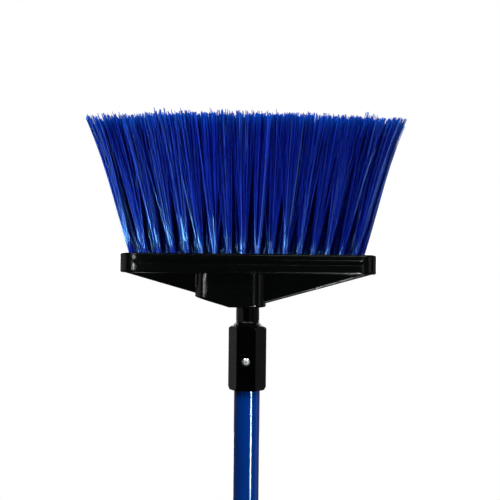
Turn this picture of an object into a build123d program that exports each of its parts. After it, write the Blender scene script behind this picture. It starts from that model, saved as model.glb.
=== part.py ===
"""An upright sweeping broom, head up: a moulded block with flared tufts and two threaded
sockets, a hexagonal threaded tip riveted on a round tube, and a swivel hanger at the far end.

The origin is on the handle's axis, in the plane of the block's underside. Z points up to the
tips of the bristles, X runs along the block and Y across it. Sizes are in millimetres.
"""

import os
from math import atan2, cos, hypot, pi, radians, sin, sqrt, tan

from build123d import *

os.makedirs("parts", exist_ok=True)

# Overall
overall_length = 1422.0  # tips of the bristles to the end of the hanger, 56 inches

# Moulded head: the block
block_length = 252.0
block_depth = 50.0
block_height = 19.5
block_corner = 18.0  # upright corners, seen from above
block_edge_round = 2.4  # rim of the top and of the underside
groove_inset = 14.9  # from each end of the block to the long groove in its front and back
groove_height = 4.0
groove_depth = 1.5
groove_lip_round = 0.6
groove_rise = 11.2  # underside of the block to the middle of the groove

# Moulded head: the web, a flat triangle under the block
web_end_inset = 3.5  # from each end of the block to the web's corner
web_drop = 34.5  # underside of the block to the point where the two slopes would meet
web_thickness = 12.0
web_edge_round = 2.5

# Moulded head: the boss with its two sockets
boss_left = 52.4  # handle axis to the left side
boss_right = 17.8  # handle axis to the right side
boss_depth = 36.0
boss_drop = 33.4  # underside of the block to the mouth of the straight socket
boss_corner = 16.0  # upright corners, seen from above
boss_edge_round = 2.0
slope_start = 18.2  # handle axis to the edge where the sloped face begins
slope_angle = 16.5  # tilt of the second socket and of the face that it opens in

# Thread of the tip and of both sockets, 3/4 inch with 5 turns to the inch
thread_major = 19.05
thread_pitch = 5.08
thread_depth = 2.54
thread_crest = 1.88
thread_flank = 14.5
thread_clearance = 0.35
thread_bury = 0.4  # how far the ridge's foot runs into the core
thread_lead = 4.0  # length of the taper at the stud's end
stud_length = 26.0
socket_depth = 30.0
socket_end_room = 2.6  # from the end of the groove to the floor of the socket
mouth_diameter = 20.4  # plain mouth of each socket
mouth_depth = 4.0
seat_gap = 0.2  # between the neck's shoulder and the boss

# Tufts
tuft_count = 17  # in each row
row_count = 5
field_left_inset = 11.7  # left end of the block to the middle of the nearest tuft
field_right_inset = 15.1  # the same, at the right end
field_side_inset = 8.9  # front and back of the block to the middle of the nearest row
tuft_hole_diameter = 6.4
tuft_hole_depth = 9.5  # below the floor of the row's slot
tuft_root_gap = 0.1
fan_reach_along = 400.0  # how far below the block's face the tufts would meet, along the block
fan_reach_across = 170.0  # the same, across the block
bristle_length = 138.0
strand_width = 1.1
strand_root = 1.2  # how far a strand runs into its strip
strand_spread_base = 1.7  # middle of a tuft to its outer strands, each way, at the face
strand_spread_tip = 4.4  # the same, at the tips

# Strip of the block's face that each row of tufts stands in
strip_width = 7.0
strip_end = 3.9  # middle of the last tuft to the end of the strip
strip_thickness = 3.0
strip_gap = 0.1
strip_root = 1.0  # how far a tuft's root runs up into its strip

# Wire anchor at the bottom of each tuft
anchor_height = 1.8
anchor_thickness = 0.5
anchor_gap = 0.1
anchor_room = 0.3  # between an anchor and the tuft above it

# Threaded tip of the handle
neck_diameter = 23.0
neck_length = 14.4
shoulder_length = 6.0
shoulder_round = 3.0  # where the neck runs into the shoulder, and the shoulder into the hexagon
hex_sides = 6
hex_across_flats = 32.5
hex_end = 115.0  # underside of the block to the lower end of the hexagon
hex_chamfer = 3.0
hex_chamfer_width = 1.6
hex_turn = -4.4  # the hexagon's front flat looks a little to the left

# Handle tube
tube_diameter = 25.4
tube_wall = 3.0
tube_joint_depth = 50.0  # how far the tube reaches into the hexagon
tube_joint_step = 0.5  # the joined end is turned down by this much all round
tube_joint_gap = 0.05
tube_end_gap = 0.5
tube_shoulder_gap = 0.2

# Blind rivet through the hexagon and the tube
rivet_rise = 28.5  # lower end of the hexagon to the rivet
rivet_shank_diameter = 4.0
rivet_head_diameter = 7.9
rivet_head_height = 1.5
rivet_hole_gap = 0.05
rivet_bulge_diameter = 5.6
rivet_bulge_length = 2.6
rivet_bulge_gap = 0.1
mandrel_diameter = 2.2
mandrel_gap = 0.05
mandrel_recess = 0.7  # below the crown of the rivet's head
mandrel_head_diameter = 3.6
mandrel_head_height = 1.4

# Plug in the lower end of the tube, and the hanger that turns in it
plug_length = 25.0
plug_gap = 0.05
flange_thickness = 2.5
flange_diameter = 25.0
stem_diameter = 7.0
stem_clearance = 0.08
swivel_gap = 0.3
clip_diameter = 15.0
clip_thickness = 1.2
clip_gap = 0.3  # between the clip and the plug
clip_fit_gap = 0.04
stem_end = 3.0  # stem beyond the clip
hanger_diameter = 25.0
hanger_base = 5.0
hanger_thickness = 11.0
hanger_width = 24.0
hanger_length = 40.0  # top of the hanger's base to its far end
hanger_round = 1.5
hang_hole_diameter = 11.0

# Sizes that follow from those above
seat_level = -boss_drop - seat_gap
stud_top = seat_level + stud_length
neck_end = seat_level - neck_length
hex_low = -hex_end
thread_root = thread_major / 2 - thread_depth
tube_radius = tube_diameter / 2
tube_inner = tube_radius - tube_wall
joint_radius = tube_radius - tube_joint_step
tip_level = block_height + bristle_length
hanger_low = tip_level - overall_length
hanger_top = hanger_low + hanger_length
flange_low = hanger_top + swivel_gap
tube_low = flange_low + flange_thickness
plug_top = tube_low + plug_length
clip_low = plug_top + clip_gap
stem_top = clip_low + clip_thickness + stem_end
slot_floor = block_height - strip_thickness
tuft_pitch = (block_length - field_left_inset - field_right_inset) / (tuft_count - 1 / 2)
row_stagger = tuft_pitch / 2  # every second row stands this much further to the right
row_pitch = (block_depth - 2 * field_side_inset) / (row_count - 1)
rivet_level = hex_low + rivet_rise
flat_distance = hex_across_flats / 2
corner_distance = flat_distance / cos(pi / hex_sides)
slope_run = (boss_left - slope_start) / 2
slope_x = -slope_start - slope_run
slope_z = -boss_drop + slope_run * tan(radians(slope_angle))


def tuft_places(row):
    """Where one row's tufts stand, along the block and across it."""
    across = row * row_pitch + field_side_inset - block_depth / 2
    first = row % 2 * row_stagger + field_left_inset - block_length / 2
    return [(first + i * tuft_pitch, across) for i in range(tuft_count)]


def tuft_direction(place):
    """The way a tuft points: out from the fan's two far lines."""
    return Vector(place[0] / fan_reach_along, place[1] / fan_reach_across, 1).normalized()


def tuft_plane(place, level, along=0.0):
    """A plane square to a tuft, with the tuft's middle at this level, moved along the tuft."""
    way = tuft_direction(place)
    start = Vector(place[0], place[1], block_height) + way * ((level - block_height) / way.Z)
    return Plane(origin=start + way * along, x_dir=(1, 0, 0), z_dir=way)


def thread_ridge(start, height, grow):
    """A helical ridge about Z, larger by grow than the stud's own."""
    inner = thread_root - thread_bury
    outer = thread_major / 2 + grow
    crest_half = thread_crest / 2 + grow
    foot_half = crest_half + (outer - inner) * tan(radians(thread_flank))
    with BuildPart() as ridge:
        with BuildLine() as coil:
            Helix(pitch=thread_pitch, height=height, radius=inner, center=(0, 0, start))
        with BuildSketch(Plane(origin=(inner, 0, start), x_dir=(1, 0, 0), z_dir=(0, -1, 0))):
            with BuildLine():
                Polyline(
                    (0, -foot_half),
                    (outer - inner, -crest_half),
                    (outer - inner, crest_half),
                    (0, foot_half),
                    close=True,
                )
            make_face()
        sweep(path=coil.line, is_frenet=True)
    return ridge.part


def dome_height(reach):
    """Height of the rivet's domed head at this distance from its middle."""
    rim = rivet_head_diameter / 2
    ball = (rim**2 + rivet_head_height**2) / (2 * rivet_head_height)
    return sqrt(ball**2 - reach**2) - (ball - rivet_head_height)


# Hollow of a socket, with its mouth at the origin and its floor above
groove_start = mouth_depth - thread_pitch
groove_rise_height = socket_depth - socket_end_room - groove_start
with BuildPart() as socket_hollow:
    with BuildSketch(Plane.XY):
        Circle(thread_root + thread_clearance)
    extrude(amount=socket_depth)
    with BuildSketch(Plane.XY):
        Circle(mouth_diameter / 2)
    extrude(amount=mouth_depth)
    add(thread_ridge(groove_start, groove_rise_height, thread_clearance))
    with BuildSketch(Plane.XY):
        Circle(mouth_diameter)
    extrude(amount=-2 * thread_pitch, mode=Mode.SUBTRACT)
    with BuildSketch(Plane.XY):
        Circle(mouth_diameter / 2)
    extrude(amount=-mouth_depth)

# Web, as two halves: a round-edged bar laid along each slope and cut off at the block and the axis
web_half = block_length / 2 - web_end_inset
web_slope = atan2(web_drop, web_half)
web_bar_height = web_drop + 2 * web_edge_round
web_bar_length = 2 * hypot(web_half, web_drop)
web_halves = []
for side in (-1, 1):
    down_slope = Vector(-side * cos(web_slope), 0, -sin(web_slope))
    off_slope = Vector(-side * sin(web_slope), 0, cos(web_slope))
    corner = Vector(side * web_half, 0, 0)
    bar_middle = corner + off_slope * (web_bar_height / 2)
    with BuildPart() as half_web:
        with BuildSketch(Plane(origin=bar_middle, x_dir=(0, 1, 0), z_dir=down_slope)):
            RectangleRounded(web_thickness, web_bar_height, web_edge_round)
        extrude(amount=web_bar_length / 2, both=True)
        with BuildSketch(Plane.XZ):
            with Locations((side * web_half / 2, -boss_drop / 2)):
                Rectangle(web_half, boss_drop)
        extrude(amount=web_thickness, both=True, mode=Mode.INTERSECT)
    web_halves.append(half_web.part)

# Boss
boss_slope_z = -boss_drop + (boss_left - slope_start) * tan(radians(slope_angle))
with BuildPart() as boss:
    with BuildSketch(Plane.XZ):
        with BuildLine():
            Polyline(
                (-boss_left, 0),
                (boss_right, 0),
                (boss_right, -boss_drop),
                (-slope_start, -boss_drop),
                (-boss_left, boss_slope_z),
                close=True,
            )
        make_face()
    extrude(amount=boss_depth / 2, both=True)
    fillet(boss.edges().filter_by(Axis.Z), boss_corner)
    flat_face, sloped_face = boss.faces().sort_by(Axis.Z)[:2]
    flat_rim = flat_face.edges().sort_by(Axis.X)[1:]
    sloped_rim = sloped_face.edges().sort_by(Axis.X)[:-1]
    fillet(flat_rim + sloped_rim, boss_edge_round)

# Long groove in the front and in the back of the block, with flat floors
groove_length = block_length - 2 * groove_inset
with BuildPart() as groove:
    with BuildSketch(Plane.XZ):
        with Locations((0, groove_rise)):
            SlotOverall(groove_length, groove_height)
    extrude(amount=block_depth, both=True)
    with BuildSketch(Plane.XY):
        Rectangle(block_length, block_depth - 2 * groove_depth)
    extrude(amount=block_height, mode=Mode.SUBTRACT)

# Moulded head
all_places = [place for row in range(row_count) for place in tuft_places(row)]
straight_mouth = Location((0, 0, -boss_drop))
angled_mouth = Location((slope_x, 0, slope_z), (0, slope_angle, 0))
strip_length = (tuft_count - 1) * tuft_pitch + 2 * strip_end
with BuildPart() as head_block:
    with BuildSketch(Plane.XY):
        RectangleRounded(block_length, block_depth, block_corner)
    extrude(amount=block_height)
    rims = head_block.faces().filter_by(Axis.Z).edges()
    fillet(rims, block_edge_round)
    add(groove.part, mode=Mode.SUBTRACT)
    long_edges = head_block.edges(Select.LAST).filter_by(Axis.X).group_by(Axis.Y)
    fillet(long_edges[0] + long_edges[-1], groove_lip_round)
    add(web_halves)
    add(boss.part)
    add(socket_hollow.part.moved(straight_mouth), mode=Mode.SUBTRACT)
    add(socket_hollow.part.moved(angled_mouth), mode=Mode.SUBTRACT)
    with BuildSketch(Plane.XY.offset(block_height)):
        for row in range(row_count):
            places = tuft_places(row)
            middle = (places[0][0] + places[-1][0]) / 2
            with Locations((middle, places[0][1])):
                SlotOverall(strip_length + 2 * strip_gap, strip_width + 2 * strip_gap)
    extrude(amount=-strip_thickness, mode=Mode.SUBTRACT)
    with BuildSketch(*[tuft_plane(place, slot_floor, strip_root) for place in all_places]):
        Circle(tuft_hole_diameter / 2)
    extrude(amount=-tuft_hole_depth - strip_root, mode=Mode.SUBTRACT)
head_block.part.label = "head_block"
export_step(head_block.part, "parts/head_block.step")

# Rows of tufts, front to back
anchor_length = tuft_hole_diameter - 2 * anchor_gap
root_length = tuft_hole_depth - anchor_gap - anchor_height - anchor_room
strand_spots = [(0, 0), (-1, -1), (1, -1), (1, 1), (-1, 1)]
for row in range(row_count):
    places = tuft_places(row)
    strands = []
    for place in places:
        way = tuft_direction(place)
        for along, across in strand_spots:
            foot = Vector(
                place[0] + along * strand_spread_base,
                place[1] + across * strand_spread_base,
                block_height,
            )
            splay = strand_spread_tip - strand_spread_base
            end = foot + way * bristle_length + Vector(along * splay, across * splay, 0)
            lean = (end - foot).normalized()
            with BuildPart() as strand:
                with BuildSketch(Plane(origin=foot - lean * strand_root, x_dir=(1, 0, 0), z_dir=lean)):
                    Rectangle(strand_width, strand_width)
                with BuildSketch(Plane(origin=end, x_dir=(1, 0, 0), z_dir=lean)):
                    Rectangle(strand_width, strand_width)
                loft(ruled=True)
            strands.append(strand.part)
    middle = (places[0][0] + places[-1][0]) / 2
    with BuildPart() as tuft_row:
        with BuildSketch(Plane.XY.offset(block_height)):
            with Locations((middle, places[0][1])):
                SlotOverall(strip_length, strip_width)
        extrude(amount=-strip_thickness)
        with BuildSketch(*[tuft_plane(place, slot_floor, strip_root) for place in places]):
            Circle(tuft_hole_diameter / 2 - tuft_root_gap)
        extrude(amount=-root_length - strip_root)
        add(strands)
    name = f"tuft_row_{row + 1}"
    tuft_row.part.label = name
    export_step(tuft_row.part, f"parts/{name}.step")
    print(name, len(tuft_row.part.solids()), "solid", len(strands), "strands")

# Wire anchors
with BuildPart() as tuft_anchors:
    with BuildSketch(
        *[tuft_plane(place, slot_floor, anchor_gap - tuft_hole_depth) for place in all_places]
    ):
        Rectangle(anchor_length, anchor_thickness)
    extrude(amount=anchor_height)
tuft_anchors.part.label = "tuft_anchors"
export_step(tuft_anchors.part, "parts/tuft_anchors.step")

# Threaded tip
ridge_start = -boss_drop + groove_start - thread_pitch
with BuildPart() as stud_thread:
    add(thread_ridge(ridge_start, stud_top - ridge_start, 0))
    with BuildSketch(Plane.XZ):
        with BuildLine():
            Polyline(
                (0, neck_end),
                (thread_major, neck_end),
                (thread_major, stud_top - thread_lead),
                (thread_major / 2, stud_top - thread_lead),
                (thread_root - thread_bury / 2, stud_top),
                (0, stud_top),
                close=True,
            )
        make_face()
    revolve(axis=Axis.Z, mode=Mode.INTERSECT)

rivet_way = Vector(sin(radians(hex_turn)), -cos(radians(hex_turn)), 0)
rivet_plane = Plane(origin=(0, 0, rivet_level), x_dir=(0, 0, 1), z_dir=rivet_way)
with BuildPart() as threaded_tip:
    with BuildSketch(Plane.XY.offset(hex_low)):
        RegularPolygon(flat_distance, hex_sides, major_radius=False, rotation=hex_turn)
    extrude(amount=seat_level - hex_low)
    shoulder_top = (neck_diameter / 2, neck_end)
    shoulder_end = (corner_distance, neck_end - shoulder_length)
    with BuildSketch(Plane.XZ) as tip_profile:
        with BuildLine():
            Polyline(
                (0, seat_level),
                (neck_diameter / 2, seat_level),
                shoulder_top,
                shoulder_end,
                (corner_distance, hex_low + hex_chamfer),
                (corner_distance - hex_chamfer_width, hex_low),
                (0, hex_low),
                close=True,
            )
        make_face()
        for bend in (shoulder_top, shoulder_end):
            fillet(tip_profile.vertices().sort_by_distance(bend)[0], shoulder_round)
    revolve(axis=Axis.Z, mode=Mode.INTERSECT)
    with BuildSketch(Plane.XY.offset(neck_end)):
        Circle(thread_root)
    extrude(amount=stud_top - neck_end)
    add(stud_thread.part)
    with BuildSketch(Plane.XY.offset(hex_low)):
        Circle(joint_radius + tube_joint_gap)
    extrude(amount=tube_joint_depth, mode=Mode.SUBTRACT)
    with BuildSketch(rivet_plane):
        Circle(rivet_shank_diameter / 2 + rivet_hole_gap)
    extrude(amount=corner_distance, mode=Mode.SUBTRACT)
threaded_tip.part.label = "threaded_tip"
export_step(threaded_tip.part, "parts/threaded_tip.step")

# Handle tube
tube_top = hex_low + tube_joint_depth - tube_end_gap
tube_shoulder = hex_low - tube_shoulder_gap
with BuildPart() as handle_tube:
    with BuildSketch(Plane.XY.offset(tube_low)):
        Circle(tube_radius)
    extrude(amount=tube_shoulder - tube_low)
    with BuildSketch(Plane.XY.offset(tube_shoulder)):
        Circle(joint_radius)
    extrude(amount=tube_top - tube_shoulder)
    with BuildSketch(Plane.XY.offset(tube_low)):
        Circle(tube_inner)
    extrude(amount=tube_top - tube_low, mode=Mode.SUBTRACT)
    with BuildSketch(rivet_plane):
        Circle(rivet_shank_diameter / 2 + rivet_hole_gap)
    extrude(amount=corner_distance, mode=Mode.SUBTRACT)
handle_tube.part.label = "handle_tube"
export_step(handle_tube.part, "parts/handle_tube.step")

# Blind rivet
rivet_section = Plane(
    origin=(0, 0, rivet_level), x_dir=(0, 0, 1), z_dir=(-rivet_way.Y, rivet_way.X, 0)
)
rivet_axis = Axis((0, 0, rivet_level), rivet_way)
rivet_bore = mandrel_diameter / 2 + mandrel_gap
bulge_top = sqrt(tube_inner**2 - (rivet_bulge_diameter / 2) ** 2) - rivet_bulge_gap
rivet_blind = bulge_top - rivet_bulge_length
crown = flat_distance + rivet_head_height
dome_middle = (rivet_head_diameter / 2 + rivet_bore) / 2
with BuildPart() as rivet_sleeve:
    with BuildSketch(rivet_section):
        with BuildLine():
            Polyline(
                (rivet_bore, flat_distance + dome_height(rivet_bore)),
                (rivet_bore, rivet_blind),
                (rivet_bulge_diameter / 2, rivet_blind),
                (rivet_bulge_diameter / 2, bulge_top),
                (rivet_shank_diameter / 2, bulge_top),
                (rivet_shank_diameter / 2, flat_distance),
                (rivet_head_diameter / 2, flat_distance),
            )
            ThreePointArc(
                (rivet_head_diameter / 2, flat_distance),
                (dome_middle, flat_distance + dome_height(dome_middle)),
                (rivet_bore, flat_distance + dome_height(rivet_bore)),
            )
        make_face()
    revolve(axis=rivet_axis)
rivet_sleeve.part.label = "rivet_sleeve"
export_step(rivet_sleeve.part, "parts/rivet_sleeve.step")

with BuildPart() as rivet_mandrel:
    with BuildSketch(rivet_section):
        with BuildLine():
            Polyline(
                (0, crown - mandrel_recess),
                (mandrel_diameter / 2, crown - mandrel_recess),
                (mandrel_diameter / 2, rivet_blind),
                (mandrel_head_diameter / 2, rivet_blind),
                (mandrel_head_diameter / 2, rivet_blind - mandrel_head_height),
                (0, rivet_blind - mandrel_head_height),
                close=True,
            )
        make_face()
    revolve(axis=rivet_axis)
rivet_mandrel.part.label = "rivet_mandrel"
export_step(rivet_mandrel.part, "parts/rivet_mandrel.step")

# Plug in the end of the tube
with BuildPart() as end_plug:
    with BuildSketch(Plane.XY.offset(flange_low)):
        Circle(flange_diameter / 2)
    extrude(amount=flange_thickness)
    with BuildSketch(Plane.XY.offset(tube_low)):
        Circle(tube_inner - plug_gap)
    extrude(amount=plug_length)
    with BuildSketch(Plane.XY.offset(flange_low)):
        Circle(stem_diameter / 2 + stem_clearance)
    extrude(amount=plug_top - flange_low, mode=Mode.SUBTRACT)
end_plug.part.label = "end_plug"
export_step(end_plug.part, "parts/end_plug.step")

# Hanger
eye_level = hanger_low + hanger_width / 2
with BuildPart() as hanger:
    with BuildSketch(Plane.XZ):
        with Locations((0, (hanger_top - hanger_base + eye_level) / 2)):
            Rectangle(hanger_width, hanger_top - hanger_base - eye_level)
        with Locations((0, eye_level)):
            Circle(hanger_width / 2)
    extrude(amount=hanger_thickness / 2, both=True)
    outline = hanger.faces().filter_by(Axis.Y).edges()
    fillet(outline - outline.filter_by(Axis.X), hanger_round)
    with BuildSketch(Plane.XZ):
        with Locations((0, eye_level)):
            Circle(hang_hole_diameter / 2)
    extrude(amount=hanger_thickness / 2, both=True, mode=Mode.SUBTRACT)
    with BuildSketch(Plane.XY.offset(hanger_top)):
        Circle(hanger_diameter / 2)
    extrude(amount=-hanger_base)
    with BuildSketch(Plane.XY.offset(hanger_top)):
        Circle(stem_diameter / 2)
    extrude(amount=stem_top - hanger_top)
hanger.part.label = "hanger"
export_step(hanger.part, "parts/hanger.step")

# Clip on the hanger's stem
with BuildPart() as hanger_clip:
    with BuildSketch(Plane.XY.offset(clip_low)):
        Circle(clip_diameter / 2)
        Circle(stem_diameter / 2 + clip_fit_gap, mode=Mode.SUBTRACT)
    extrude(amount=clip_thickness)
hanger_clip.part.label = "hanger_clip"
export_step(hanger_clip.part, "parts/hanger_clip.step")
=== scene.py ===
"""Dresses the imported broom: filament tufts, surface materials, studio light and camera."""
from math import cos, pi, radians, sin

import bpy
import numpy as np
from mathutils import Matrix, Vector


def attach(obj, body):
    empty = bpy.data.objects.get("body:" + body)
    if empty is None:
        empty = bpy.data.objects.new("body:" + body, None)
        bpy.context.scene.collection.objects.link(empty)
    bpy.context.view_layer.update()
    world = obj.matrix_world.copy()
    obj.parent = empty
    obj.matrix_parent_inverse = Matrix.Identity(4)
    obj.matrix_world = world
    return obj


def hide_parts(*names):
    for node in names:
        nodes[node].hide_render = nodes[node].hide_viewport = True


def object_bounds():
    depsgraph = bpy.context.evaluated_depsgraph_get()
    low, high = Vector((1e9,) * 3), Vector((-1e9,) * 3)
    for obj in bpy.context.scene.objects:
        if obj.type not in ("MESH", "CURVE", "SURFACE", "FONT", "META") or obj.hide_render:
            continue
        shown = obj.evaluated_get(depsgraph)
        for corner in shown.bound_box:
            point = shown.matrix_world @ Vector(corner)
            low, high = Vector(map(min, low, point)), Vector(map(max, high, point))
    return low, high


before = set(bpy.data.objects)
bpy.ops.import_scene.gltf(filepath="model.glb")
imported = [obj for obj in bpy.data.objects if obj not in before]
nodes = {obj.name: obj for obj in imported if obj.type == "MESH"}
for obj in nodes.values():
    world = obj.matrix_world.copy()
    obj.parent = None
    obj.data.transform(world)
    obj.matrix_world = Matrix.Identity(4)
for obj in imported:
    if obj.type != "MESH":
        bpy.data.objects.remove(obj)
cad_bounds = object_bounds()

scene = bpy.context.scene
MM = 0.001  # lengths below are in millimetres, as in the solids, unless a comment says metres

# Where the tufts stand, as in the solids
BLOCK_LENGTH = 252.0
BLOCK_DEPTH = 50.0
BLOCK_TOP = 19.5
TUFT_COUNT = 17  # in each row
ROW_COUNT = 5
FIELD_LEFT_INSET = 11.7  # left end of the block to the middle of the nearest tuft
FIELD_RIGHT_INSET = 15.1  # the same, at the right end
FIELD_SIDE_INSET = 8.9  # front and back of the block to the middle of the nearest row
TUFT_PITCH = (BLOCK_LENGTH - FIELD_LEFT_INSET - FIELD_RIGHT_INSET) / (TUFT_COUNT - 0.5)
ROW_PITCH = (BLOCK_DEPTH - 2 * FIELD_SIDE_INSET) / (ROW_COUNT - 1)
ROW_SHIFT = (0, 0, 0.5, 0, -0.5)  # of each row along the block, so that rows don't hide each other

# Slices of the block's face, each with the round holes of one row
STRIP_WIDTH = 7.16
STRIP_END = 3.98  # middle of the last tuft to the end of the strip
STRIP_THICKNESS = 3.0
STRIP_END_STEPS = 16  # in the half circle at each end
HOLE_RADIUS = 3.3
HOLE_STEPS = 24

# Filaments: how many, how long, and the lines that they follow from foot to tip
SEED = 4600
FILAMENTS = (48, 60, 60, 60, 56)  # in each tuft, by row
FILAMENT_LENGTH = 136.0
FILAMENT_RADIUS = 0.47
RADIUS_RANGE = (0.85, 1.12)
TIP_TAPER = 0.94
FILAMENT_STEPS = 7
FILAMENT_END_STEP = 0.002  # ring next to each end, so that the cut stays sharp
TIP_STEPS = (0.93, 0.97)  # more rings near the tip, as shares of the length
ROOT_DEPTH = 2.0  # below the block's face
TUFT_RADIUS = (2.1, 3.2, 3.2, 3.2, 3.0)  # at the foot, by row
GOLDEN_ANGLE = pi * (3 - 5**0.5)
FAN_ALONG = 440.0  # how far below the block's face the tufts would meet, along the block
FAN_ACROSS = 190.0  # the same, across the block
FAN_ACROSS_POWER = 0.85
SPREAD_ALONG = 8.8  # middle of a tuft to its outer filaments at the tips, along the block
SPREAD_ACROSS = 3.6  # the same, across the block
SPREAD_POWER = np.array([0.85, 0.6])
END_PLACE = BLOCK_LENGTH / 2 - FIELD_LEFT_INSET  # block's middle to its last tuft on the left
END_FLARE = 6.0  # how far the last tufts curl outwards
END_FLARE_POWER = 4  # towards the tips
END_FLARE_ROW_POWER = 3  # towards the ends of a row

# Filaments: how they differ from each other, as standard deviations unless a comment says otherwise
CLUMPS = 11  # in each tuft
CLUMP_GRIP = 0.43  # how far a filament's tip is drawn to its clump, from 0 to 1
TUFT_LEAN = 0.014  # sideways for each unit of height
TUFT_LENGTH_SPREAD = 0.9
CLUMP_LENGTH_SPREAD = 1.75
OWN_LENGTH_SPREAD = 0.65
SHORT_SHARE = 0.08  # of all filaments
SHORT_BY = (1, 7)  # least and most
OWN_LEAN = 1.7  # at the tip
CLUMP_LEAN = 2.3
STRAY_SHARE = 0.22  # of all filaments
STRAY_LEAN = 7.5
OWN_BEND = 1.4
CLUMP_BEND = 1.6

# Filaments: limits that keep the outline of the flare clean
OUTWARD_ROOM = 1.6  # a filament's way out of its tuft, near the ends of the block
EDGE_STRAY = 0.8  # mean of what single filaments get on top of it
EDGE_START = 70.0  # from the block's middle
EDGE_FULL = 95.0
ACROSS_ROOM = 32.0  # tips to the block's middle plane
ACROSS_PULL = 0.7

# Filaments: their tones, from 0 to 1, the painted glow at their tips and the painted shade on the feet
# of the inner rows
TUFT_TONE = 0.48
TUFT_TONE_SPREAD = 0.03
CLUMP_TONE_SPREAD = 0.06
OWN_TONE_SPREAD = 0.17
# Painted sheen: a share of filaments made paler, standing for thin lines of gloss
SHEEN_LINE_SHARE = 0.12  # of all filaments
SHEEN_LINE_STEP = 0.35
# Painted light: the tips are paler, as if lit through the filaments
TIP_FADE = 4.5  # length over which the paleness falls to a third
# Painted shade: the feet of the inner rows are darkened, as where the front row shades them
FOOT_SHADE = (0, 0.8, 0.9, 0.8, 0)  # by row
FOOT_FADE = 42.0  # length over which the shade falls to a third
FOOT_SHADE_POWER = 6  # how late the shade falls to nothing towards the ends of a row

# Floor, in metres
FLOOR_RADIUS = 4.1
FLOOR_SIDES = 96
FLOOR_GAP = 0.0005

# Camera, in metres and degrees: the picture is so wide at a plane just in front of the handle
VIEW_DISTANCE = 1.05
VIEW_WIDTH = 0.4885
VIEW_PLANE = -0.014
VIEW_X = 0.0016
VIEW_Z = 0.0230
VIEW_ROLL = 0.6
SENSOR = 36.0


def tuft_places(row):
    """Where one row's tufts stand, along the block and across it, in millimetres."""
    across = row * ROW_PITCH + FIELD_SIDE_INSET - BLOCK_DEPTH / 2
    first = row % 2 * TUFT_PITCH / 2 + FIELD_LEFT_INSET - BLOCK_LENGTH / 2 + ROW_SHIFT[row]
    return [(first + i * TUFT_PITCH, across) for i in range(TUFT_COUNT)]


# Materials: noises are in the frame's own metres
def new_material(name):
    """A new material, its node tree and its principled shader."""
    material = bpy.data.materials.new(name)
    material.use_nodes = True
    tree = material.node_tree
    shader = next(n for n in tree.nodes if n.type == "BSDF_PRINCIPLED")
    return material, tree, shader


def stretched_noise(tree, scale, detail=3, rough=0.55, stretch=(1, 1, 1)):
    """A noise in the frame's own coordinates, stretched along its axes."""
    place = tree.nodes.new("ShaderNodeTexCoord")
    mapping = tree.nodes.new("ShaderNodeMapping")
    mapping.inputs["Scale"].default_value = stretch
    tree.links.new(place.outputs["Object"], mapping.inputs["Vector"])
    noise = tree.nodes.new("ShaderNodeTexNoise")
    noise.inputs["Scale"].default_value = scale
    noise.inputs["Detail"].default_value = detail
    noise.inputs["Roughness"].default_value = rough
    tree.links.new(mapping.outputs["Vector"], noise.inputs["Vector"])
    return noise.outputs["Fac"]


def ranged(tree, value, low_in, high_in, low, high):
    """A value moved from one range to another, held at the ends."""
    node = tree.nodes.new("ShaderNodeMapRange")
    node.inputs["From Min"].default_value = low_in
    node.inputs["From Max"].default_value = high_in
    node.inputs["To Min"].default_value = low
    node.inputs["To Max"].default_value = high
    tree.links.new(value, node.inputs["Value"])
    return node.outputs["Result"]


def mixed_colour(tree, value, first, second):
    """A colour between two, by a value."""
    node = tree.nodes.new("ShaderNodeMix")
    node.data_type = "RGBA"
    tree.links.new(value, node.inputs["Factor"])
    node.inputs["A"].default_value = (*first, 1)
    node.inputs["B"].default_value = (*second, 1)
    return next(o for o in node.outputs if o.type == "RGBA")


def bumped(tree, shader, heights):
    """Stacks bumps on the shader: (value, strength, distance in metres)."""
    last = None
    for value, strength, distance in heights:
        bump = tree.nodes.new("ShaderNodeBump")
        bump.inputs["Strength"].default_value = strength
        bump.inputs["Distance"].default_value = distance
        tree.links.new(value, bump.inputs["Height"])
        if last is not None:
            tree.links.new(last.outputs["Normal"], bump.inputs["Normal"])
        last = bump
    tree.links.new(last.outputs["Normal"], shader.inputs["Normal"])


def moulded_plastic(name, dark, light, rough, grain, grain_depth, scuff_stretch):
    """Black moulded plastic: fine grain, faint scuffs and a slightly wavy skin."""
    material, tree, shader = new_material(name)
    cloud = stretched_noise(tree, scale=38, detail=4)
    grains = stretched_noise(tree, scale=grain, detail=2)
    scuffs = stretched_noise(tree, scale=60, detail=5, rough=0.7, stretch=scuff_stretch)
    tree.links.new(
        mixed_colour(tree, ranged(tree, scuffs, 0.45, 0.8, 0, 1), dark, light),
        shader.inputs["Base Color"],
    )
    tree.links.new(ranged(tree, cloud, 0.3, 0.7, *rough), shader.inputs["Roughness"])
    shader.inputs["Specular IOR Level"].default_value = 0.25
    bumped(tree, shader, [(cloud, 0.12, 0.002), (grains, 0.8, grain_depth), (scuffs, 0.1, 0.0002)])
    return material


head_plastic = moulded_plastic(
    "head_plastic",
    dark=(0.0011, 0.0018, 0.0014),
    light=(0.0024, 0.0034, 0.0029),
    rough=(0.09, 0.19),
    grain=700,
    grain_depth=0.00016,
    scuff_stretch=(1, 14, 14),
)
tip_nylon = moulded_plastic(
    "tip_nylon",
    dark=(0.0002, 0.0005, 0.0004),
    light=(0.0006, 0.001, 0.0009),
    rough=(0.22, 0.32),
    grain=2200,
    grain_depth=0.00015,
    scuff_stretch=(14, 14, 1),
)
end_plastic = moulded_plastic(
    "end_plastic",
    dark=(0.0016, 0.002, 0.0019),
    light=(0.004, 0.0045, 0.0044),
    rough=(0.3, 0.46),
    grain=1800,
    grain_depth=0.00015,
    scuff_stretch=(14, 14, 1),
)


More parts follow.
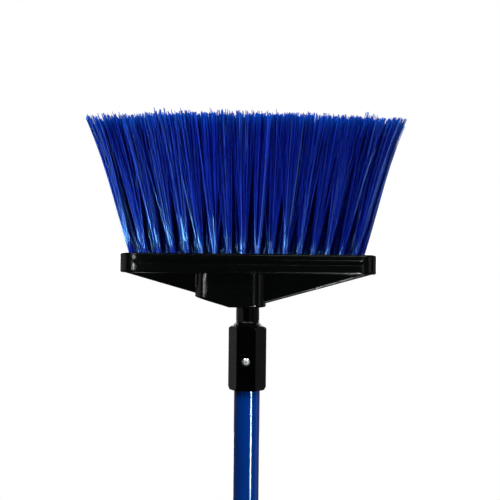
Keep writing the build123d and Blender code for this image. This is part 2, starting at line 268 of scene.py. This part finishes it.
def glass_fibre():
    """Blue gloss tube: long faint streaks of fibre under a clear skin."""
    material, tree, shader = new_material("handle_gloss")
    fibres = stretched_noise(tree, scale=22, detail=4, rough=0.6, stretch=(40, 40, 1))
    cloud = stretched_noise(tree, scale=30, stretch=(1, 1, 0.3))
    marks = stretched_noise(tree, scale=140, detail=5, rough=0.7, stretch=(1, 1, 6))
    share = ranged(tree, fibres, 0.3, 0.7, 0, 1)
    tree.links.new(
        mixed_colour(tree, share, (0.001, 0.054, 0.41), (0.001, 0.071, 0.51)),
        shader.inputs["Base Color"],
    )
    tree.links.new(ranged(tree, marks, 0.4, 0.75, 0.13, 0.24), shader.inputs["Roughness"])
    bumped(tree, shader, [(fibres, 0.04, 0.0003), (cloud, 0.02, 0.002)])
    shader.inputs["Specular IOR Level"].default_value = 0.6
    shader.inputs["Specular Tint"].default_value = (0.3, 0.8, 1, 1)
    shader.inputs["Coat Weight"].default_value = 0.8
    shader.inputs["Coat Roughness"].default_value = 0.03
    return material


def bare_metal(name, dark, light, rough, grain=900):
    """Worn metal with fine scratches."""
    material, tree, shader = new_material(name)
    shader.inputs["Metallic"].default_value = 1.0
    scratches = stretched_noise(tree, scale=grain, detail=5, rough=0.7, stretch=(1, 1, 5))
    tree.links.new(
        mixed_colour(tree, ranged(tree, scratches, 0.35, 0.7, 0, 1), dark, light),
        shader.inputs["Base Color"],
    )
    tree.links.new(ranged(tree, scratches, 0.3, 0.7, *rough), shader.inputs["Roughness"])
    bumped(tree, shader, [(scratches, 0.2, 0.00005)])
    return material


def filament():
    """Blue filament with a soft gloss: its own tone, a painted glow at the tip and, on inner rows,
    painted shade at the foot.
    """
    material, tree, shader = new_material("filament_blue")
    tone = tree.nodes.new("ShaderNodeAttribute")
    tone.attribute_name = "tone"
    streak = stretched_noise(tree, scale=500, detail=2, stretch=(1, 1, 0.2))
    add = tree.nodes.new("ShaderNodeMath")
    add.operation = "MULTIPLY_ADD"
    tree.links.new(streak, add.inputs[0])
    add.inputs[1].default_value = 0.3
    tree.links.new(tone.outputs["Fac"], add.inputs[2])
    share = ranged(tree, add.outputs[0], 0.1, 1.1, 0, 1)
    body = mixed_colour(tree, share, (0.002, 0.003, 0.12), (0.004, 0.022, 0.52))
    # Painted sheen: the palest tones go to a paler, greyer blue, like thin lines of gloss
    painted_sheen_share = ranged(tree, add.outputs[0], 0.9, 1.2, 0, 1)
    pale = mixed_colour(tree, painted_sheen_share, (0, 0, 0), (0.03, 0.075, 0.58))
    tree.links.new(body, pale.node.inputs["A"])
    # Painted light: towards the tip the colour goes to a pale cyan blue, as if light shone through the
    # cut ends
    tip = tree.nodes.new("ShaderNodeAttribute")
    tip.attribute_name = "tip"
    painted_tip_glow = mixed_colour(tree, tip.outputs["Fac"], (0, 0, 0), (0.002, 0.105, 0.76))
    tree.links.new(pale, painted_tip_glow.node.inputs["A"])
    # Painted shade: the feet of the inner rows darken towards black and lose their gloss
    shade = tree.nodes.new("ShaderNodeAttribute")
    shade.attribute_name = "shade"
    painted_foot_shade = mixed_colour(tree, shade.outputs["Fac"], (0, 0, 0), (0.0006, 0.001, 0.02))
    tree.links.new(painted_tip_glow, painted_foot_shade.node.inputs["A"])
    tree.links.new(painted_foot_shade, shader.inputs["Base Color"])
    tree.links.new(ranged(tree, streak, 0.3, 0.7, 0.1, 0.16), shader.inputs["Roughness"])
    shader.inputs["IOR"].default_value = 1.8
    gloss = ranged(tree, shade.outputs["Fac"], 0, 1, 0.8, 0)
    tree.links.new(gloss, shader.inputs["Specular IOR Level"])
    shader.inputs["Specular Tint"].default_value = (0.2, 0.6, 1, 1)
    return material


handle_gloss = glass_fibre()
rivet_metal = bare_metal("rivet_metal", (0.55, 0.56, 0.57), (0.72, 0.73, 0.74), (0.22, 0.34))
mandrel_metal = bare_metal("mandrel_metal", (0.2, 0.2, 0.21), (0.4, 0.4, 0.41), (0.3, 0.5))
wire_metal = bare_metal("wire_metal", (0.45, 0.43, 0.36), (0.6, 0.58, 0.5), (0.25, 0.45))
filament_blue = filament()

FINISHES = {
    "head_block": head_plastic,
    "tuft_anchors": wire_metal,
    "threaded_tip": tip_nylon,
    "handle_tube": handle_gloss,
    "rivet_sleeve": rivet_metal,
    "rivet_mandrel": mandrel_metal,
    "end_plug": end_plastic,
    "hanger": end_plastic,
    "hanger_clip": mandrel_metal,
}
for node_name, finish_material in FINISHES.items():
    mesh = nodes[node_name].data
    mesh.materials.clear()
    mesh.materials.append(finish_material)


# Tufts
def filament_paths(row, rng):
    """Centre lines of one row's filaments, in millimetres, with a tone and a painted shade for the foot
    of each.
    """
    inner = np.linspace(0, 1, FILAMENT_STEPS + 1)[1:-1]
    steps = np.array([0, FILAMENT_END_STEP, *inner, *TIP_STEPS, 1 - FILAMENT_END_STEP, 1])
    paths, tones, shades = [], [], []
    for place_x, place_y in tuft_places(row):
        count = FILAMENTS[row]
        turn = rng.uniform(0, 2 * pi)
        index = np.arange(count)
        reach = TUFT_RADIUS[row] * np.sqrt((index + 0.5) / count)
        angle = turn + index * GOLDEN_ANGLE
        root = np.stack([reach * np.cos(angle), reach * np.sin(angle)], 1)
        centres = root[rng.choice(count, CLUMPS, replace=False)]
        clump = np.linalg.norm(root[:, None] - centres, axis=2).argmin(1)
        gathered = root + CLUMP_GRIP * (centres[clump] - root)
        lean = np.array([place_x / FAN_ALONG, 0]) + rng.normal(0, TUFT_LEAN, 2)
        way = np.array([*lean, 1.0]) / np.sqrt(1 + lean @ lean)
        forward = place_y / FAN_ACROSS * FILAMENT_LENGTH
        tuft_tone = rng.normal(TUFT_TONE, TUFT_TONE_SPREAD)
        length = FILAMENT_LENGTH + ROOT_DEPTH + rng.normal(0, TUFT_LENGTH_SPREAD)
        length = length + rng.normal(0, OWN_LENGTH_SPREAD, count)
        length += rng.normal(0, CLUMP_LENGTH_SPREAD, CLUMPS)[clump]
        short = rng.random(count) < SHORT_SHARE
        length -= short * rng.uniform(*SHORT_BY, count)
        own_lean = rng.normal(0, OWN_LEAN, (count, 2))
        own_lean += rng.normal(0, CLUMP_LEAN, (CLUMPS, 2))[clump]
        stray = rng.random(count) < STRAY_SHARE
        own_lean += stray[:, None] * rng.normal(0, STRAY_LEAN, (count, 2))
        own_bend = rng.normal(0, OWN_BEND, (count, 2))
        own_bend += rng.normal(0, CLUMP_BEND, (CLUMPS, 2))[clump]
        outward = np.sign(place_x)
        spread = np.array([SPREAD_ALONG, SPREAD_ACROSS]) / TUFT_RADIUS[row]
        reach_out = (gathered[:, 0] * spread[0] + own_lean[:, 0] + own_bend[:, 0]) * outward
        room = OUTWARD_ROOM + rng.exponential(EDGE_STRAY, count)
        hold = np.clip((abs(place_x) - EDGE_START) / (EDGE_FULL - EDGE_START), 0, 1)
        own_lean[:, 0] -= np.maximum(0, reach_out - room) * hold * outward
        reach_across = place_y + forward + gathered[:, 1] * (1 + spread[1])
        reach_across += own_lean[:, 1] + own_bend[:, 1]
        over = np.maximum(0, np.abs(reach_across) - ACROSS_ROOM)
        own_lean[:, 1] -= ACROSS_PULL * np.sign(reach_across) * over
        flare = END_FLARE * (place_x / END_PLACE) ** END_FLARE_ROW_POWER

        def lines(ends):
            """Points along each filament, up to this share of its length."""
            t = steps[None, :] * ends[:, None]
            grow = spread[None, None, :] * t[:, :, None] ** SPREAD_POWER
            side = root[:, None, :] + gathered[:, None, :] * grow
            side = side + own_lean[:, None, :] * t[:, :, None]
            side += own_bend[:, None, :] * (t**2)[:, :, None]
            points = length[:, None, None] * t[:, :, None] * way[None, None, :]
            points[:, :, :2] += side
            points[:, :, 0] += flare * t**END_FLARE_POWER
            points[:, :, 1] += forward * t**FAN_ACROSS_POWER
            points += np.array([place_x, place_y, BLOCK_TOP]) - way * ROOT_DEPTH / way[2]
            return points

        first = lines(np.ones(count))
        arc = np.linalg.norm(np.diff(first, axis=1), axis=2).sum(1)
        paths.append(lines(length / arc))
        # Painted sheen: some filaments get a paler tone, as thin lines of gloss
        sheen_lined = rng.random(count) < SHEEN_LINE_SHARE
        tone = tuft_tone + rng.normal(0, OWN_TONE_SPREAD, count)
        tone += rng.normal(0, CLUMP_TONE_SPREAD, CLUMPS)[clump] + SHEEN_LINE_STEP * sheen_lined
        tones.append(np.clip(tone, 0, 1))
        # Painted shade at the feet, less towards the ends of a row, where light from the sides reaches
        # the inner rows
        open_end = min(1, abs(place_x / END_PLACE)) ** FOOT_SHADE_POWER
        shades.append(np.full(count, FOOT_SHADE[row] * (1 - open_end)))
    return np.concatenate(paths), np.concatenate(tones), np.concatenate(shades)


def filament_mesh(name, paths, tones, shades, rng):
    """Three-sided filaments along these lines, cut square at the tips."""
    count, rings = paths.shape[:2]
    turn = rng.uniform(0, 2 * pi, count)
    radius = FILAMENT_RADIUS * rng.uniform(*RADIUS_RANGE, count)
    taper = np.linspace(1, TIP_TAPER, rings)
    corners = []
    for side in range(3):
        angle = turn + side * 2 * pi / 3
        offset = np.stack([np.cos(angle), np.sin(angle), np.zeros(count)], 1) * radius[:, None]
        corners.append(paths + offset[:, None, :] * taper[None, :, None])
    points = np.stack(corners, 2).reshape(-1, 3) * MM
    start = (np.arange(count) * rings * 3)[:, None, None]
    ring = (np.arange(rings - 1) * 3)[None, :, None]
    side = np.arange(3)[None, None, :]
    after = (side + 1) % 3
    quads = np.stack(
        [start + ring + side, start + ring + after, start + ring + 3 + after, start + ring + 3 + side], 3
    ).reshape(-1, 4)
    tip = (np.arange(count) * rings * 3 + (rings - 1) * 3)[:, None] + np.arange(3)[None, :]
    foot = (np.arange(count) * rings * 3)[:, None] + np.arange(3)[None, ::-1]
    mesh = bpy.data.meshes.new(name)
    loops = np.concatenate([quads.ravel(), tip.ravel(), foot.ravel()]).astype(np.int32)
    totals = np.concatenate([np.full(len(quads), 4), np.full(len(tip) * 2, 3)]).astype(np.int32)
    mesh.vertices.add(len(points))
    mesh.vertices.foreach_set("co", points.astype(np.float32).ravel())
    mesh.loops.add(len(loops))
    mesh.loops.foreach_set("vertex_index", loops)
    mesh.polygons.add(len(totals))
    mesh.polygons.foreach_set("loop_start", (np.cumsum(totals) - totals).astype(np.int32))
    mesh.polygons.foreach_set("loop_total", totals)
    mesh.polygons.foreach_set("use_smooth", totals == 4)
    attribute = mesh.attributes.new("tone", "FLOAT", "POINT")
    attribute.data.foreach_set("value", np.repeat(tones, rings * 3).astype(np.float32))
    along = np.linalg.norm(np.diff(paths, axis=1), axis=2).cumsum(1)
    from_foot = np.concatenate([np.zeros((count, 1)), along], 1)
    to_tip = along[:, -1:] - from_foot
    # Painted shade on the feet of the inner rows, fading upwards from each foot
    attribute = mesh.attributes.new("shade", "FLOAT", "POINT")
    painted_shade = shades[:, None] * np.exp(-from_foot / FOOT_FADE)
    attribute.data.foreach_set("value", np.repeat(painted_shade.ravel(), 3).astype(np.float32))
    # Painted light at the tips: paleness that falls off from each tip
    attribute = mesh.attributes.new("tip", "FLOAT", "POINT")
    paleness = np.exp(-to_tip.ravel() / TIP_FADE)
    attribute.data.foreach_set("value", np.repeat(paleness, 3).astype(np.float32))
    mesh.update(calc_edges=True)
    mesh.validate()
    return mesh


def strip_mesh(name, row):
    """The slice of the block's face under one row, with a round hole for each tuft."""
    places = tuft_places(row)
    curve = bpy.data.curves.new(name, "CURVE")
    curve.dimensions = "2D"
    curve.fill_mode = "BOTH"
    curve.extrude = STRIP_THICKNESS / 2 * MM
    left, right = places[0][0] - STRIP_END, places[-1][0] + STRIP_END
    half = STRIP_WIDTH / 2
    outline = []
    for middle, start in ((left + half, pi / 2), (right - half, -pi / 2)):
        for step in range(STRIP_END_STEPS + 1):
            angle = start + pi * step / STRIP_END_STEPS
            outline.append((middle + half * cos(angle), half * sin(angle)))
    loops = [outline]
    for place_x, _ in places:
        shift = place_x / FAN_ALONG * STRIP_THICKNESS / 2
        hole = []
        for step in range(HOLE_STEPS):
            angle = 2 * pi * step / HOLE_STEPS
            hole.append((place_x - shift + HOLE_RADIUS * cos(angle), HOLE_RADIUS * sin(angle)))
        loops.append(hole)
    for loop in loops:
        spline = curve.splines.new("POLY")
        spline.points.add(len(loop) - 1)
        spline.use_cyclic_u = True
        for point, (x, y) in zip(spline.points, loop):
            point.co = (x * MM, y * MM, 0, 1)
    holder = bpy.data.objects.new(name, curve)
    scene.collection.objects.link(holder)
    bpy.context.view_layer.update()
    made = holder.evaluated_get(bpy.context.evaluated_depsgraph_get())
    mesh = bpy.data.meshes.new_from_object(made)
    bpy.data.objects.remove(holder)
    bpy.data.curves.remove(curve)
    mesh.name = name
    mesh.transform(Matrix.Translation((0, places[0][1] * MM, (BLOCK_TOP - STRIP_THICKNESS / 2) * MM)))
    return mesh


tuft_pieces, strip_pieces = [], []
for row in range(ROW_COUNT):
    rng = np.random.default_rng(SEED + row)
    paths, tones, shades = filament_paths(row, rng)
    mesh = filament_mesh(f"tufts_{row + 1}", paths, tones, shades, rng)
    mesh.materials.append(filament_blue)
    tufts = bpy.data.objects.new(f"tufts_{row + 1}", mesh)
    scene.collection.objects.link(tufts)
    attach(tufts, "head")
    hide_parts(f"tuft_row_{row + 1}")
    tuft_pieces.append(tufts)
    mesh = strip_mesh(f"face_strip_{row + 1}", row)
    mesh.materials.append(head_plastic)
    strip = bpy.data.objects.new(f"face_strip_{row + 1}", mesh)
    scene.collection.objects.link(strip)
    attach(strip, "head")
    strip_pieces.append(strip)


# Floor
def pale_floor():
    """A plain pale floor under the end of the handle."""
    material, tree, shader = new_material("floor_pale")
    cloud = stretched_noise(tree, scale=3)
    tree.links.new(
        mixed_colour(tree, cloud, (0.78, 0.78, 0.78), (0.84, 0.84, 0.84)), shader.inputs["Base Color"]
    )
    shader.inputs["Roughness"].default_value = 0.6
    level = cad_bounds[0][2] - FLOOR_GAP
    mesh = bpy.data.meshes.new("floor")
    angles = [2 * pi * side / FLOOR_SIDES for side in range(FLOOR_SIDES)]
    ring = [(FLOOR_RADIUS * cos(angle), FLOOR_RADIUS * sin(angle), level) for angle in angles]
    mesh.from_pydata(ring, [], [list(range(FLOOR_SIDES))])
    mesh.materials.append(material)
    floor = bpy.data.objects.new("floor", mesh)
    floor.visible_diffuse = False
    floor.visible_glossy = False
    scene.collection.objects.link(floor)
    return floor


floor = pale_floor()


# Light
def lit_group(name, pieces):
    """The pieces that a light reaches."""
    group = bpy.data.collections.new(name)
    for piece in pieces:
        group.objects.link(piece)
    return group


def softbox(name, place, face, watts, aim, beam=180, lit=None):
    """A rectangular light round the broom.

    Its place is an azimuth in degrees, from the camera and positive to the right, a height and a
    distance from the handle's axis. Its face is a width and a height. It shines on one group or on all.
    """
    azimuth, height, distance = place
    lamp = bpy.data.lights.new(name, "AREA")
    lamp.shape = "RECTANGLE"
    lamp.size, lamp.size_y = face
    lamp.energy = watts
    lamp.spread = radians(beam)
    holder = bpy.data.objects.new(name, lamp)
    turn = radians(azimuth)
    holder.location = (distance * sin(turn), -distance * cos(turn), height)
    holder.rotation_euler = (Vector(aim) - holder.location).to_track_quat("-Z", "Y").to_euler()
    holder.visible_camera = False
    holder.light_linking.receiver_collection = lit
    holder.light_linking.blocker_collection = lit
    scene.collection.objects.link(holder)


def floor_sun(lit):
    """An even light from above on the floor alone."""
    lamp = bpy.data.lights.new("floor_light", "SUN")
    lamp.energy = 3.0
    lamp.angle = radians(60)
    holder = bpy.data.objects.new("floor_light", lamp)
    holder.light_linking.receiver_collection = lit
    scene.collection.objects.link(holder)


solids = [nodes[name] for name in FINISHES]
not_tube = [nodes[name] for name in FINISHES if name != "handle_tube"]
bristles = lit_group("lit_bristles", tuft_pieces)
moulded = lit_group("lit_moulded", strip_pieces + not_tube)
tube = lit_group("lit_tube", [nodes["handle_tube"]])
head = lit_group("lit_head", [nodes["head_block"]])
tip = lit_group("lit_tip", [nodes["threaded_tip"]])
whole = lit_group("lit_whole", tuft_pieces + strip_pieces + solids)
ground = lit_group("lit_floor", [floor])
rivet = lit_group("lit_rivet", [nodes["rivet_sleeve"], nodes["rivet_mandrel"]])

# Gloss on the head, from three lights close to it and two below
softbox("corner_key", (-42.9, 0.008, 0.282), (0.005, 0.02), 0.12, aim=(-0.111, -0.0245, 0.01), lit=head)
softbox("boss_key", (-53.1, -0.022, 0.242), (0.004, 0.03), 0.044, aim=(-0.043, -0.014, -0.015), lit=head)
softbox("right_key", (36.7, -0.17, 0.249), (0.01, 0.1), 0.55, aim=(0.11, -0.0245, 0.01), lit=head)
softbox("under_right", (14.5, -0.85, 0.85), (0.1, 0.3), 1.0, aim=(0.1, 0, 0), lit=head)
softbox("under_web", (24, -0.85, 0.85), (0.3, 0.3), 2, aim=(0.08, 0, 0), lit=head)
# Gloss on the sides of the black pieces and on the rivet
softbox("left_side", (-94, 0.05, 1.2), (0.7, 0.5), 0.5, aim=(0, 0, 0.05), lit=moulded)
softbox("tip_left", (-62, 0.05, 1.2), (0.35, 0.5), 0.85, aim=(0, 0, 0), lit=tip)
softbox("right_edge", (30, -0.05, 1.2), (0.15, 0.3), 0.2, aim=(0, 0, 0), lit=moulded)
softbox("top_mid", (8, 0.9, 1.1), (0.3, 0.15), 1.5, aim=(0, 0, 0), lit=moulded)
softbox("rivet_front", (0, -0.08, 0.9), (2.0, 2.0), 10, aim=(0, 0, -0.08), lit=rivet)
# White streak and pale side of the tube
softbox("tube_streak", (40, -0.55, 1.4), (0.28, 0.7), 0.034, aim=(0, 0, -0.26), beam=18, lit=tube)
softbox("tube_core", (40, -0.4, 1.4), (0.2, 0.28), 0.06, aim=(0, 0, -0.16), beam=18, lit=tube)
softbox("tube_side", (100, -0.3, 1.2), (0.5, 1.2), 0.35, aim=(0, 0, -0.2), lit=tube)
# Feet, ends and middle of the bristles
softbox("left_low", (-42, -0.38, 1.2), (0.5, 0.16), 0.45, aim=(-0.22, 0, 0.06), beam=17, lit=bristles)
softbox("left_rim", (-80, -0.22, 1.2), (0.3, 0.25), 0.06, aim=(-0.13, 0, 0.09), beam=30, lit=bristles)
softbox("left_edge", (-98, -0.15, 1.2), (0.3, 0.9), 3, aim=(-0.1, 0, 0.09), lit=bristles)
softbox("right_rim", (80, -0.2, 1.2), (0.3, 0.25), 0.035, aim=(0.13, 0, 0.09), beam=30, lit=bristles)
softbox("right_side", (98, -0.15, 1.2), (0.3, 0.9), 1.6, aim=(0.1, 0, 0.09), lit=bristles)
softbox("front_soft", (-50, 0.25, 1.2), (0.3, 0.5), 0.03, aim=(-0.18, 0, 0.1), beam=22, lit=bristles)
softbox("right_soft", (55, 0.25, 1.2), (0.3, 0.5), 0.085, aim=(0.16, 0, 0.1), beam=24, lit=bristles)
softbox("right_top", (42, 1.2, 1.0), (0.2, 0.2), 0.05, aim=(0.14, 0, 0.08), beam=8, lit=bristles)
# Right end of the block
softbox("right_end", (75, 0.05, 1.2), (0.3, 0.5), 0.3, aim=(0, 0, 0.05), lit=moulded)
# Soft light from above, on everything
softbox("top_left", (-40, 1.2, 1.0), (0.6, 0.6), 9.3, aim=(0, 0, 0.1))
softbox("top_right", (42, 1.2, 1.0), (0.6, 0.6), 8.2, aim=(0, 0, 0.1))
# Pale rims at both sides of the black pieces
softbox("left_wall", (-126, 0, 1.4), (1.0, 2.0), 1.1, aim=(0, 0, 0), lit=moulded)
softbox("right_wall", (122, 0, 1.4), (1.0, 2.0), 0.7, aim=(0, 0, 0), lit=moulded)
# Back and lower end
softbox("back_left", (-160, 0.35, 1.5), (0.6, 0.9), 7, aim=(0, 0, 0.05), lit=whole)
softbox("back_right", (160, 0.35, 1.5), (0.6, 0.9), 7, aim=(0, 0, 0.05), lit=whole)
softbox("back_low", (180, -0.8, 1.4), (0.6, 0.8), 1.1, aim=(0, 0, -0.8), beam=70, lit=whole)
softbox("front_low", (-35, -0.95, 1.4), (0.5, 0.5), 1.5, aim=(0, 0, -0.95), beam=45, lit=whole)
floor_sun(ground)


def studio_world():
    """White to the camera, and a dim fill for the pieces that grows towards the back."""
    world = bpy.data.worlds.new("studio")
    scene.world = world
    world.use_nodes = True
    tree = world.node_tree
    tree.nodes.clear()
    seen = tree.nodes.new("ShaderNodeBackground")
    seen.inputs["Color"].default_value = (1, 1, 1, 1)
    seen.inputs["Strength"].default_value = 1.0
    fill = tree.nodes.new("ShaderNodeBackground")
    fill.inputs["Color"].default_value = (0.95, 0.98, 1, 1)
    direction = tree.nodes.new("ShaderNodeTexCoord")
    parts = tree.nodes.new("ShaderNodeSeparateXYZ")
    tree.links.new(direction.outputs["Generated"], parts.inputs["Vector"])
    tree.links.new(ranged(tree, parts.outputs["Y"], -0.3, 0.8, 0.015, 0.08), fill.inputs["Strength"])
    light_path = tree.nodes.new("ShaderNodeLightPath")
    choice = tree.nodes.new("ShaderNodeMixShader")
    output = tree.nodes.new("ShaderNodeOutputWorld")
    tree.links.new(light_path.outputs["Is Camera Ray"], choice.inputs["Fac"])
    tree.links.new(fill.outputs["Background"], choice.inputs[1])
    tree.links.new(seen.outputs["Background"], choice.inputs[2])
    tree.links.new(choice.outputs["Shader"], output.inputs["Surface"])


def front_camera():
    """A camera in front of the head, rolled a little, as in the photo."""
    lens = bpy.data.cameras.new("camera")
    lens.sensor_fit = "HORIZONTAL"
    lens.sensor_width = SENSOR
    lens.lens = SENSOR * (VIEW_DISTANCE + VIEW_PLANE) / VIEW_WIDTH
    lens.clip_start = 0.01
    lens.dof.use_dof = False
    camera = bpy.data.objects.new("camera", lens)
    looking = Matrix.Rotation(pi / 2, 4, "X") @ Matrix.Rotation(radians(VIEW_ROLL), 4, "Z")
    camera.matrix_world = Matrix.Translation((VIEW_X, -VIEW_DISTANCE, VIEW_Z)) @ looking
    scene.collection.objects.link(camera)
    scene.camera = camera


studio_world()
front_camera()
scene.view_settings.view_transform = "Standard"
scene.view_settings.look = "None"
